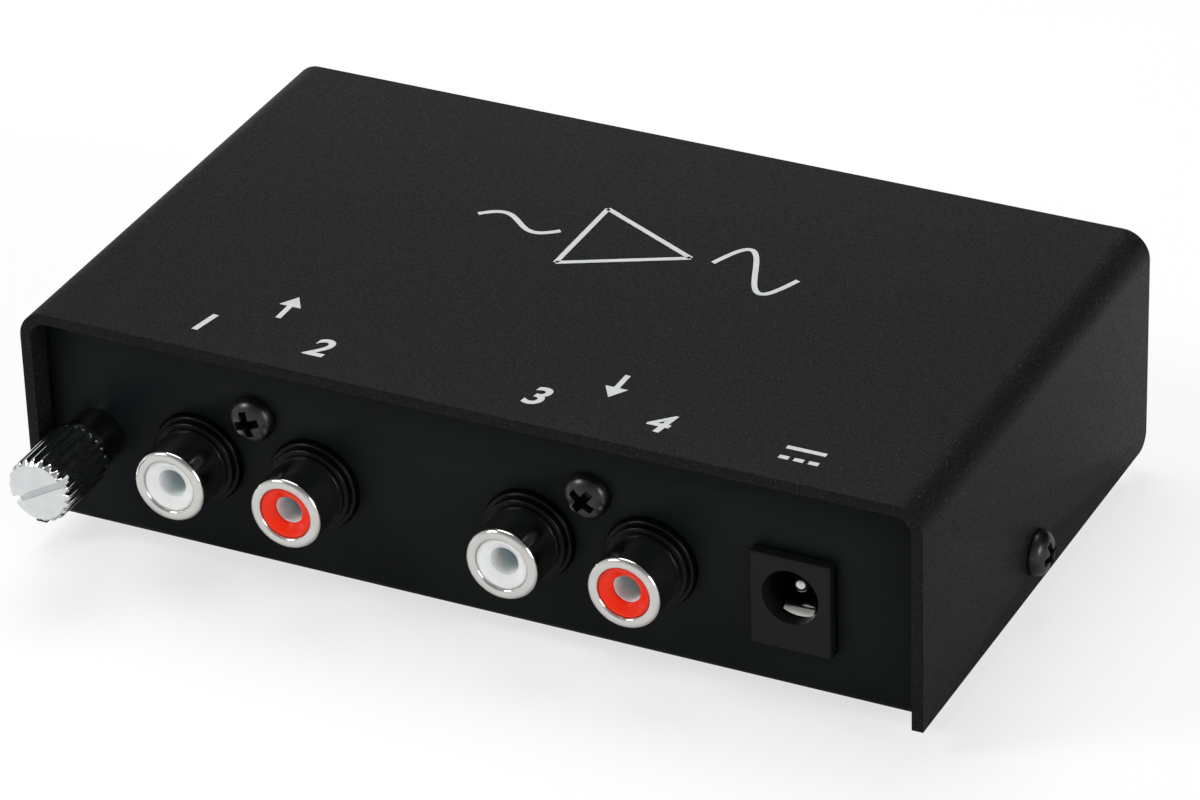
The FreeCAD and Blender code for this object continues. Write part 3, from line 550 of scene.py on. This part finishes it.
def thumbTree():
    tree, given = startGeometry("flutedThumbscrew", (
        "Radius", "Length", "Flute Depth", "Front Chamfer", "Rear Chamfer", "Slot Width", "Slot Depth",
        "Slot Turn", "Relief", "Relief Length", "Thread Radius", "Thread Length", "Pitch", "Thread Depth"),
        ("Flutes", "Slices", "Rings", "Thread Rings"))
    axes, flat = splitPoints(tree)
    z = axes[2]
    angle = add(tree, "ShaderNodeMath", {"operation": "ARCTAN2"}, (axes[1], axes[0]))
    # head: the rim dips in each flute, and both ends are turned to a chamfer
    phase = add(tree, "ShaderNodeMath", {"operation": "MULTIPLY"}, (angle, given["Flutes"]))
    wave = add(tree, "ShaderNodeMath", {"operation": "COSINE"}, (phase,))
    share = add(tree, "ShaderNodeMath", {"operation": "MULTIPLY_ADD"}, (wave, -0.5, 0.5))
    hollow = add(tree, "ShaderNodeMath", {"operation": "POWER"}, (share, thumbLook["flutePower"]))
    dip = add(tree, "ShaderNodeMath", {"operation": "MULTIPLY"}, (hollow, given["Flute Depth"]))
    rim = add(tree, "ShaderNodeMath", {"operation": "SUBTRACT"}, (given["Radius"], dip))
    half = add(tree, "ShaderNodeMath", {"operation": "DIVIDE"}, (given["Length"], 2.0))
    fromFront = add(tree, "ShaderNodeMath", {"operation": "SUBTRACT"}, (half, z))
    fromRear = add(tree, "ShaderNodeMath", {"operation": "ADD"}, (half, z))
    for chamfer, distance in (("Front Chamfer", fromFront), ("Rear Chamfer", fromRear)):
        edge = add(tree, "ShaderNodeMath", {"operation": "SUBTRACT"}, (given["Radius"], given[chamfer]))
        limit = add(tree, "ShaderNodeMath", {"operation": "ADD"}, (edge, distance))
        rim = add(tree, "ShaderNodeMath", {"operation": "MINIMUM"}, (rim, limit))
    blank = add(tree, "GeometryNodeMeshCylinder", {}, {
        "Vertices": given["Slices"], "Side Segments": given["Rings"], "Fill Segments": thumbLook["faceRings"],
        "Radius": 1.0, "Depth": given["Length"]})
    head = reshape(tree, blank, flat, rim, z)
    # slot: a bar longer than the head is wide, sunk into its face
    across = add(tree, "ShaderNodeMath", {"operation": "MULTIPLY"}, (
        given["Radius"], thumbLook["cutterReach"]))
    deep = add(tree, "ShaderNodeMath", {"operation": "MULTIPLY"}, (given["Slot Depth"], 2.0))
    bar = add(tree, "GeometryNodeMeshCube", {}, {
        "Size": add(tree, "ShaderNodeCombineXYZ", {}, (across, given["Slot Width"], deep))})
    spin = add(tree, "ShaderNodeCombineXYZ", {}, {2: given["Slot Turn"]})
    cutter = add(tree, "GeometryNodeTransform", {}, {
        "Geometry": bar, "Translation": add(tree, "ShaderNodeCombineXYZ", {}, {2: half}),
        "Rotation": add(tree, "FunctionNodeEulerToRotation", {}, (spin,))})
    slotted = add(tree, "GeometryNodeMeshBoolean", {"operation": "DIFFERENCE", "solver": "EXACT"}, {
        "Mesh 1": head, "Mesh 2": cutter})
    # thread: the ridge follows the turn and the distance together, so it winds as a helix
    rod = add(tree, "GeometryNodeMeshCylinder", {}, {
        "Vertices": thumbLook["threadSides"], "Side Segments": given["Thread Rings"],
        "Fill Segments": thumbLook["threadFaceRings"], "Radius": 1.0, "Depth": given["Thread Length"]})
    along = add(tree, "ShaderNodeMath", {"operation": "DIVIDE"}, (z, given["Pitch"]))
    around = add(tree, "ShaderNodeMath", {"operation": "DIVIDE"}, (angle, 2 * math.pi))
    turns = add(tree, "ShaderNodeMath", {"operation": "SUBTRACT"}, (along, around))
    ridge = add(tree, "ShaderNodeMath", {"operation": "PINGPONG"}, (turns, 0.5))
    full = add(tree, "ShaderNodeMath", {"operation": "MULTIPLY"}, (ridge, 2.0))
    groove = add(tree, "ShaderNodeMath", {"operation": "MULTIPLY"}, (full, given["Thread Depth"]))
    crest = add(tree, "ShaderNodeMath", {"operation": "SUBTRACT"}, (given["Thread Radius"], groove))
    halfThread = add(tree, "ShaderNodeMath", {"operation": "DIVIDE"}, (given["Thread Length"], 2.0))
    fromHead = add(tree, "ShaderNodeMath", {"operation": "SUBTRACT"}, (halfThread, z))
    isRelief = add(tree, "ShaderNodeMath", {"operation": "LESS_THAN"}, (fromHead, given["Relief Length"]))
    girth = add(tree, "GeometryNodeSwitch", {"input_type": "FLOAT"}, {
        "Switch": isRelief, "False": crest, "True": given["Relief"]})
    thread = reshape(tree, rod, flat, girth, z)
    apart = add(tree, "ShaderNodeMath", {"operation": "ADD"}, (half, halfThread))
    back = add(tree, "ShaderNodeMath", {"operation": "MULTIPLY"}, (apart, -1.0))
    behind = add(tree, "GeometryNodeTransform", {}, {
        "Geometry": thread, "Translation": add(tree, "ShaderNodeCombineXYZ", {}, {2: back})})
    endGeometry(tree, given, add(tree, "GeometryNodeJoinGeometry", {}, {"Geometry": [slotted, behind]}))
    return tree


def makeThumbscrew():
    low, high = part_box("ground_thumbscrew")
    sizes = {label: size * mm for label, size in thumbLook["sizesMm"].items()}
    threadLength = high.y - low.y - sizes["Length"]
    flutes = thumbLook["flutes"]
    mesh = growMesh("thumb", thumbTree(), sizes | {
        "Radius": (high.x - low.x) / 2, "Thread Length": threadLength,
        "Slot Turn": math.radians(thumbLook["slotTurnDegrees"]), "Flutes": flutes,
        "Slices": flutes * thumbLook["slicesPerFlute"],
        "Rings": round(sizes["Length"] / mm * thumbLook["ringsPerMm"]),
        "Thread Rings": round(threadLength / sizes["Pitch"] * thumbLook["ringsPerTurn"]),
        "Material": materials[slotFinish["terminal_plate"]]})
    # the tree's axis is Z with the slot up, and the real one points out of the panel along -Y
    middle = centre("ground_thumbscrew")
    middle.y = low.y + sizes["Length"] / 2
    mesh.transform(Matrix.Translation(middle) @ Matrix.Rotation(math.radians(90), 4, "X"))
    smoothRounds(mesh, thumbLook["sharpDegrees"])
    placePiece("fluted_thumbscrew", mesh, "terminal_screw", "terminal_plate", "ground_thumbscrew")


makeThumbscrew()
print("thumbscrew done")


# Turned pieces

turnedLook = {"roundSteps": 5, "steps": 72, "sharpDegrees": 35.0}


def softOutline(corners):
    # corners hold radius, depth and the size of the round there, all in millimetres
    outline = []
    for index, (radius, depth, roundMm) in enumerate(corners):
        here = Vector((radius, depth))
        if roundMm == 0:
            outline.append(here)
            continue
        before = (Vector(corners[index - 1][:2]) - here).normalized()
        after = (Vector(corners[(index + 1) % len(corners)][:2]) - here).normalized()
        half = before.angle(after) / 2
        reach = roundMm / math.tan(half)
        middle = here + (before + after).normalized() * (roundMm / math.sin(half))
        first, last = here + before * reach - middle, here + after * reach - middle
        for step in range(turnedLook["roundSteps"] + 1):
            share = step / turnedLook["roundSteps"]
            outline.append(middle + first.slerp(last, share) * roundMm)
    return outline


def turnedMesh(name, corners, tip):
    # spins the outline round an axis along Y, with depth running rearward from the tip
    work = bmesh.new()
    spots = [work.verts.new(tip + Vector((point.x, point.y, 0)) * mm) for point in softOutline(corners)]
    edges = [work.edges.new((spots[index - 1], spots[index])) for index in range(len(spots))]
    bmesh.ops.spin(work, geom=spots + edges, cent=tip, axis=(0, 1, 0), angle=2 * math.pi,
                   steps=turnedLook["steps"], use_merge=True)
    bmesh.ops.remove_doubles(work, verts=work.verts, dist=tiny)
    bmesh.ops.recalc_face_normals(work, faces=work.faces)
    mesh = finishWork(name, work)
    smoothRounds(mesh, turnedLook["sharpDegrees"])
    return mesh


def joinMeshes(name, meshes):
    work = bmesh.new()
    for mesh in meshes:
        work.from_mesh(mesh)
    bmesh.ops.recalc_face_normals(work, faces=work.faces)
    return finishWork(name, work)


# Socket mouths: shallow glossy insulators and the milky liner of the pin hole just inside them.
# Each corner is a radius, a depth behind the rim and a round, in millimetres.
mouthLook = {
    "insulator": [
        (2.93, 0.3, 0.08), (2.55, 0.32, 0.2), (1.62, 0.98, 0.12), (1.6, 1.3, 0.0), (2.02, 1.3, 0.0),
        (2.02, 18.8, 0.0), (2.93, 18.8, 0.0)],
    "liner": [
        (1.58, 1.35, 0.08), (1.58, 5.4, 0.0), (1.595, 5.4, 0.0), (1.595, 2.9, 0.0), (1.98, 2.9, 0.0),
        (1.98, 1.35, 0.0)],
}


def makeSocketMouth(name, colour):
    insulatorNode = name + "_insulator"
    tip = centre(insulatorNode)
    tip.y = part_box(name + "_shell")[0].y
    insulator = turnedMesh(name + "_insulator_ring", mouthLook["insulator"], tip)
    insulator.materials.append(materials[slotFinish[colour]])
    placePiece(name + "_insulator_ring", insulator, case, colour, insulatorNode)
    liner = turnedMesh(name + "_pin_liner", mouthLook["liner"], tip)
    liner.materials.append(materials["naturalNylon"])
    placePiece(name + "_pin_liner", liner, case, "white_insulator")


for side in ("input", "output"):
    makeSocketMouth(side + "_left", "white_insulator")
    makeSocketMouth(side + "_right", "red_insulator")
print("socket mouths done")


# Power socket: a round-nosed pin and the sprung leaf with its curled lip
powerLook = {
    "noseMm": 1.0, "tailWidthMm": 2.0, "tailSheetMm": 0.4, "tailEdgeMm": 0.08, "tailEdgeSegments": 2,
    "seatMm": 0.85, "stepMm": 8.0, "leafSheetMm": 0.32, "lipMm": 1.75, "lipDegrees": 80.0,
    "lipSteps": 10, "armSteps": 12,
}


def makePowerPin():
    low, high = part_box("dc_center_pin")
    radius = (high.x - low.x) / 2 / mm
    tip = Vector(((low.x + high.x) / 2, low.y, high.z - radius * mm))
    long = (high.y - low.y) / mm
    nose, seat, step = powerLook["noseMm"], powerLook["seatMm"], powerLook["stepMm"]
    corners = [
        (0, 0, 0), (radius, 0, nose), (radius, step, 0), (seat, step, 0), (seat, long, 0), (0, long, 0)]
    shaft = turnedMesh("power_pin_shaft", corners, tip)
    # flat tail, bent down from the rear end of the shaft
    sheet = powerLook["tailSheetMm"] * mm
    size = Matrix.Diagonal((powerLook["tailWidthMm"] * mm, sheet, tip.z - low.z, 1))
    place = Matrix.Translation((tip.x, high.y - sheet / 2, (tip.z + low.z) / 2))
    tail = bmesh.new()
    bmesh.ops.create_cube(tail, size=1.0, matrix=place @ size)
    bmesh.ops.bevel(tail, geom=tail.edges, offset=powerLook["tailEdgeMm"] * mm,
                    segments=powerLook["tailEdgeSegments"], affect="EDGES")
    pin = joinMeshes("power_pin", [shaft, finishWork("power_pin_tail", tail)])
    pin.materials.append(materials[slotFinish["dc_pin_plate"]])
    smoothRounds(pin, turnedLook["sharpDegrees"])
    placePiece("power_pin", pin, case, "dc_pin_plate", "dc_center_pin")


def makePowerLeaf():
    # a strip that rises from its root to a crest and curls down at the front
    low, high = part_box("dc_leaf_contact")
    sheet, lip = powerLook["leafSheetMm"] * mm, powerLook["lipMm"] * mm
    crest = Vector((low.y + lip, high.z))
    root = Vector((high.y - sheet, low.z + sheet))
    upper = []
    for step in range(powerLook["armSteps"]):
        share = step / powerLook["armSteps"]
        ease = math.sin(math.pi / 2 * share)
        upper.append(Vector((root.x + (crest.x - root.x) * share, root.y + (crest.y - root.y) * ease)))
    for step in range(powerLook["lipSteps"] + 1):
        turn = math.radians(powerLook["lipDegrees"]) * step / powerLook["lipSteps"]
        upper.append(crest + Vector((-math.sin(turn) * lip, (math.cos(turn) - 1) * lip)))
    lower = []
    for index, spot in enumerate(upper):
        ahead = upper[min(index + 1, len(upper) - 1)] - upper[max(index - 1, 0)]
        lower.append(spot + Vector((-ahead.y, ahead.x)).normalized() * sheet)
    outline = upper + lower[::-1]
    work = bmesh.new()
    ends = [[work.verts.new((x, spot.x, spot.y)) for spot in outline] for x in (low.x, high.x)]
    for end in ends:
        work.faces.new(end)
    for index in range(len(outline)):
        work.faces.new((ends[0][index - 1], ends[0][index], ends[1][index], ends[1][index - 1]))
    bmesh.ops.recalc_face_normals(work, faces=work.faces)
    mesh = finishWork("power_leaf", work)
    mesh.materials.append(materials[slotFinish["dc_leaf_plate"]])
    smoothRounds(mesh, turnedLook["sharpDegrees"])
    placePiece("power_leaf", mesh, "dc_leaf", "dc_leaf_plate", "dc_leaf_contact")


makePowerPin()
makePowerLeaf()
print("power socket done")


# Print on the lid: plain numerals, arrows, a direct-current mark and an amplifier's circuit figure.
# Back is the distance behind the lid's front edge.
printLook = {
    "numeralMm": 5.0, "boldMm": 0.1, "slant": 0.18, "numeralBackMm": 5.2, "markBackMm": 11.0,
    "strokeMm": 0.62, "arrowLengthMm": 3.6, "arrowNeckMm": 0.9, "arrowHeadMm": 2.6, "arrowPointMm": 2.08,
    "dcWidthMm": 4.4, "dcDashMm": 1.1, "dcGapMm": 1.0, "figureAtMm": (2.5, 38.0), "triangleMm": 13.0,
    "waveLengthMm": 10.0, "waveSteps": 32, "smallWaveMm": 1.4, "largeWaveMm": 4.2, "gapMm": 2.6,
}
lidLow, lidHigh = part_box("lid")


def numeral(character, x, back):
    data = bpy.data.curves.new("numeral", "FONT")
    data.body = character
    data.size = printLook["numeralMm"] * mm
    data.offset = printLook["boldMm"] * mm
    data.shear = printLook["slant"]
    data.align_x = "CENTER"
    data.align_y = "CENTER"
    data.extrude = ink / 2
    mesh = plainMesh(holdMesh("numeral", data))
    mesh.transform(Matrix.Translation((x, lidLow.y + back, lidHigh.z - ink / 2)))
    return mesh


def flatPatch(corners):
    # a closed patch of ink over these corners
    mesh = bpy.data.meshes.new("patch")
    count = len(corners)
    under = [(spot.x, spot.y, lidHigh.z - ink) for spot in corners]
    over = [(spot.x, spot.y, lidHigh.z) for spot in corners]
    walls = [(i, (i + 1) % count, count + (i + 1) % count, count + i) for i in range(count)]
    faces = [tuple(reversed(range(count))), tuple(range(count, 2 * count)), *walls]
    mesh.from_pydata(under + over, [], faces)
    return mesh


def stroke(points):
    # a line of even width through these points
    half = printLook["strokeMm"] * mm / 2
    left, right = [], []
    for index, spot in enumerate(points):
        ahead = points[min(index + 1, len(points) - 1)] - points[max(index - 1, 0)]
        side = Vector((-ahead.y, ahead.x)).normalized() * half
        left.append(spot + side)
        right.append(spot - side)
    return flatPatch(right + left[::-1])


def arrow(x, back, inward):
    # a straight arrow along the case's depth, into the sockets or out of them
    way = Vector((0, 1 if inward else -1))
    middle = Vector((x, lidLow.y + back))
    length, ahead, head, point = (printLook[key] * mm for key in (
        "arrowLengthMm", "arrowNeckMm", "arrowHeadMm", "arrowPointMm"))
    neck = middle + way * ahead
    corners = [neck + Vector((head / 2, 0)), neck + way * point, neck - Vector((head / 2, 0))]
    return [stroke([middle - way * length / 2, neck]), flatPatch(corners)]


def directCurrent(x, back):
    # a full line over a line of three dashes
    width, dash, gap = (printLook[key] * mm for key in ("dcWidthMm", "dcDashMm", "dcGapMm"))
    middle = Vector((x, lidLow.y + back))
    marks = [stroke([middle + Vector((-width / 2, gap)), middle + Vector((width / 2, gap))])]
    for step in (-1, 0, 1):
        start = middle + Vector((step * (width - dash) / 2 - dash / 2, -gap))
        marks.append(stroke([start, start + Vector((dash, 0))]))
    return marks


def amplifierFigure():
    # the plain circuit mark of an amplifier: a small wave in, a triangle, a large wave out
    x, back = printLook["figureAtMm"]
    middle = Vector((x * mm, lidLow.y + back * mm))
    side, wave, gap = (printLook[key] * mm for key in ("triangleMm", "waveLengthMm", "gapMm"))
    corners = [Vector((-side / 2, -side / 2)), Vector((side / 2, 0)), Vector((-side / 2, side / 2))]
    marks = [stroke([middle + corners[index - 1], middle + corners[index]]) for index in range(3)]
    for key, start in (("smallWaveMm", -side / 2 - gap - wave), ("largeWaveMm", side / 2 + gap)):
        points = []
        for step in range(printLook["waveSteps"] + 1):
            share = step / printLook["waveSteps"]
            rise = math.sin(2 * math.pi * share) * printLook[key] * mm
            points.append(middle + Vector((start + wave * share, rise)))
        marks.append(stroke(points))
    return marks


def makePrint():
    back, markBack = printLook["numeralBackMm"] * mm, printLook["markBackMm"] * mm
    names = ("input_left", "input_right", "output_left", "output_right")
    sockets = [centre(name + "_shell").x for name in names]
    marks = [numeral(str(number), x, back) for number, x in enumerate(sockets, 1)]
    marks += arrow((sockets[0] + sockets[1]) / 2, markBack, True)
    marks += arrow((sockets[2] + sockets[3]) / 2, markBack, False)
    marks += directCurrent(centre("dc_jack_housing").x, back)
    marks += amplifierFigure()
    mesh = joinMeshes("lid_print", marks)
    mesh.materials.append(materials["screenInk"])
    placePiece("lid_print", mesh, case, "lid_powder_coat")


makePrint()
print("print done")


# Light, floor and camera

studio = {
    "worldGrey": "#9a9c9e", "worldStrength": 0.45,
    # what metal and gloss show: white at the horizon, greyer overhead, one dark card behind on the right
    "overheadGrey": 0.3, "fadeFrom": 0.05, "fadeTo": 0.7,
    "cardTowards": (0.5, 0.77, 0.38), "cardEdge": 0.62, "cardCore": 0.9, "cardDark": 0.97,
    # the floor lies a hair under the feet, so that the two never share a plane
    "floorSize": 3.0, "floorDropMm": 0.03, "floorTone": "#f4f4f4", "floorGlow": 0.7,
    "lamps": {
        "overhead": {"place": (-0.15, 0.2, 0.8), "size": 0.6, "power": 4.8},
        "key": {"place": (-0.55, -0.4, 0.55), "size": 0.3, "power": 3.0},
        "side": {"place": (0.7, -0.2, 0.3), "size": 0.35, "power": 2.5},
    },
}
white = (1.0, 1.0, 1.0, 1.0)


def makeWorld():
    world = bpy.data.worlds.new("studioWorld")
    bpy.context.scene.world = world
    world.use_nodes = True
    tree = world.node_tree
    tree.nodes.clear()
    rays = add(tree, "ShaderNodeLightPath").outputs
    towards = add(tree, "ShaderNodeTexCoord").outputs["Generated"]
    rise = add(tree, "ShaderNodeSeparateXYZ", {}, (towards,)).outputs[2]
    fade = add(tree, "ShaderNodeMapRange", {}, {
        "Value": rise, "From Min": studio["fadeFrom"], "From Max": studio["fadeTo"],
        "To Min": 1.0, "To Max": studio["overheadGrey"]})
    facing = add(tree, "ShaderNodeVectorMath", {"operation": "DOT_PRODUCT"}, (
        towards, Vector(studio["cardTowards"]).normalized())).outputs["Value"]
    card = add(tree, "ShaderNodeMapRange", {}, {
        "Value": facing, "From Min": studio["cardEdge"], "From Max": studio["cardCore"],
        "To Min": 1.0, "To Max": 1.0 - studio["cardDark"]})
    shown = add(tree, "ShaderNodeMath", {"operation": "MULTIPLY"}, (fade, card))
    mirrored = add(tree, "ShaderNodeMath", {"operation": "MAXIMUM"}, (
        rays["Is Glossy Ray"], rays["Is Transmission Ray"]))
    soft = add(tree, "ShaderNodeBackground", {}, {
        "Color": hexColour(studio["worldGrey"]), "Strength": studio["worldStrength"]})
    surround = add(tree, "ShaderNodeBackground", {}, {"Color": white, "Strength": shown})
    backdrop = add(tree, "ShaderNodeBackground", {}, {"Color": white, "Strength": 1.0})
    objectLight = add(tree, "ShaderNodeMixShader", {}, (mirrored, soft, surround))
    both = add(tree, "ShaderNodeMixShader", {}, (rays["Is Camera Ray"], objectLight, backdrop))
    add(tree, "ShaderNodeOutputWorld", {}, {"Surface": both})


def makeLamp(name, lamp, target):
    data = bpy.data.lights.new(name, "AREA")
    data.shape = "DISK"
    data.size = lamp["size"]
    data.energy = lamp["power"]
    lampObject = bpy.data.objects.new(name, data)
    bpy.context.scene.collection.objects.link(lampObject)
    lampObject.location = lamp["place"]
    lampObject.rotation_mode = "QUATERNION"
    lampObject.rotation_quaternion = (target - Vector(lamp["place"])).to_track_quat("-Z", "Y")


def makeFloor():
    half, level = studio["floorSize"] / 2, -studio["floorDropMm"] * mm
    mesh = bpy.data.meshes.new("floor")
    corners = [(-half, -half, level), (half, -half, level), (half, half, level), (-half, half, level)]
    mesh.from_pydata(corners, [], [(0, 1, 2, 3)])
    floor = bpy.data.objects.new("floor", mesh)
    bpy.context.scene.collection.objects.link(floor)
    material = bpy.data.materials.new("paleFloor")
    material.use_nodes = True
    tree = material.node_tree
    tree.nodes.clear()
    seen = add(tree, "ShaderNodeLightPath").outputs["Is Camera Ray"]
    matte = add(tree, "ShaderNodeBsdfDiffuse", {}, {"Color": hexColour(studio["floorTone"])})
    glow = add(tree, "ShaderNodeEmission", {}, {"Color": white, "Strength": seen})
    share = add(tree, "ShaderNodeMath", {"operation": "MULTIPLY"}, (seen, studio["floorGlow"]))
    both = add(tree, "ShaderNodeMixShader", {}, (share, matte, glow))
    add(tree, "ShaderNodeOutputMaterial", {}, {"Surface": both})
    mesh.materials.append(material)
    floor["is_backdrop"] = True


# the photograph's own view: place in metres, angles in degrees, lens and sensor in millimetres
view = {
    "place": (0.2512, -0.4903, 0.33985), "azimuth": 26.79, "elevation": 30.45, "roll": -1.87,
    "lens": 178.42, "sensor": 36.0,
}


def makeCamera():
    turn, rise, roll = (math.radians(view[key]) for key in ("azimuth", "elevation", "roll"))
    back = Vector((math.sin(turn) * math.cos(rise), -math.cos(turn) * math.cos(rise), math.sin(rise)))
    right = Vector((math.cos(turn), math.sin(turn), 0))
    up = back.cross(right)
    rolledRight = right * math.cos(roll) + up * math.sin(roll)
    rolledUp = up * math.cos(roll) - right * math.sin(roll)
    data = bpy.data.cameras.new("camera")
    data.lens = view["lens"]
    data.sensor_width = view["sensor"]
    camera = bpy.data.objects.new("camera", data)
    bpy.context.scene.collection.objects.link(camera)
    axes = Matrix((rolledRight, rolledUp, back)).transposed()
    camera.matrix_world = Matrix.Translation(Vector(view["place"])) @ axes.to_4x4()
    bpy.context.scene.camera = camera


makeWorld()
makeFloor()
low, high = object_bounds()
for lampName, lampSizes in studio["lamps"].items():
    makeLamp(lampName, lampSizes, (low + high) / 2)
makeCamera()
bpy.context.scene.view_settings.view_transform = "Standard"
print("studio ready")
